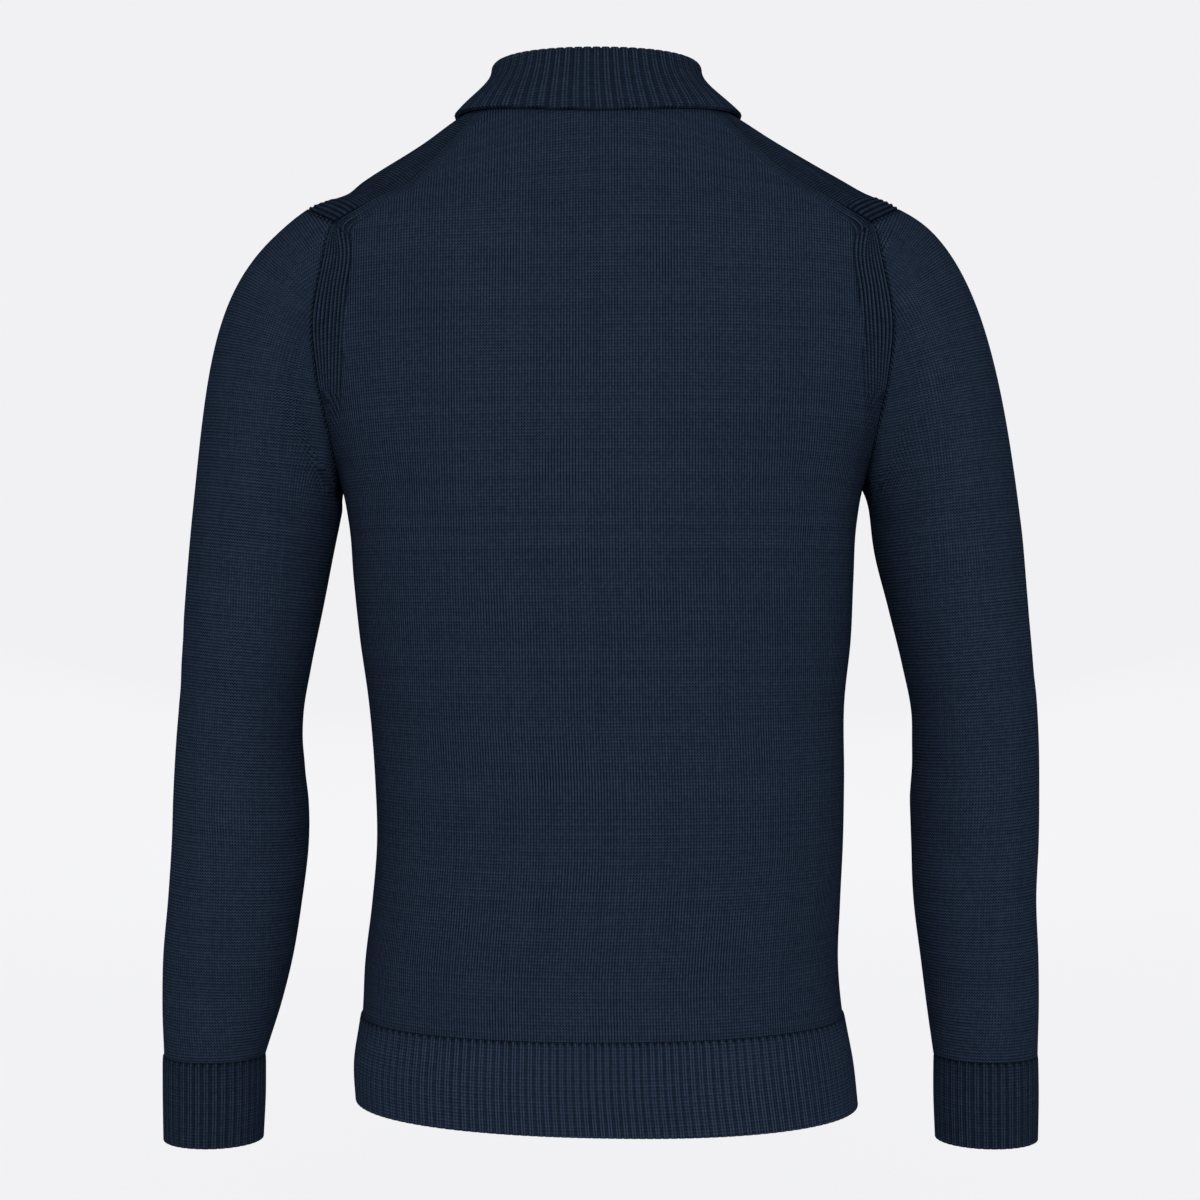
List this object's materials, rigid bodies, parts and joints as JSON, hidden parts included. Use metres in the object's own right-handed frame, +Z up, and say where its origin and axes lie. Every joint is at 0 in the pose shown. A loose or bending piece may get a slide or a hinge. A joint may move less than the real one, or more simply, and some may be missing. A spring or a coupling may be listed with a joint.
{
  "type": "turtleneck sweater",
  "caption": "Plain dark fine-knit turtleneck sweater with a folded rib collar, ribbed bands at the armholes, rib cuffs and a rib hem, hollow as worn.",
  "frame": {"origin": "Middle of the neck opening at the height of the neck points, at the mount worn_on_shoulders, where a wearer or a form holds the garment up", "axes": "+Z is up, along the back's length and the longest extent; +Y points to the wearer's back and is the shortest extent; +X points to the wearer's left"},
  "size_m": [0.6, 0.2394, 0.7316],
  "materials": {
    "plain_knit": "matte navy plain knit",
    "rib_knit": "matte navy rib knit"
  },
  "bodies": {
    "root": {"back": "plain_knit", "front": "plain_knit", "sleeve_left": "plain_knit", "sleeve_right": "plain_knit", "cuff_left": "rib_knit", "cuff_right": "rib_knit", "hem_back": "rib_knit", "hem_front": "rib_knit", "collar": "rib_knit"}
  },
  "joints": []
}
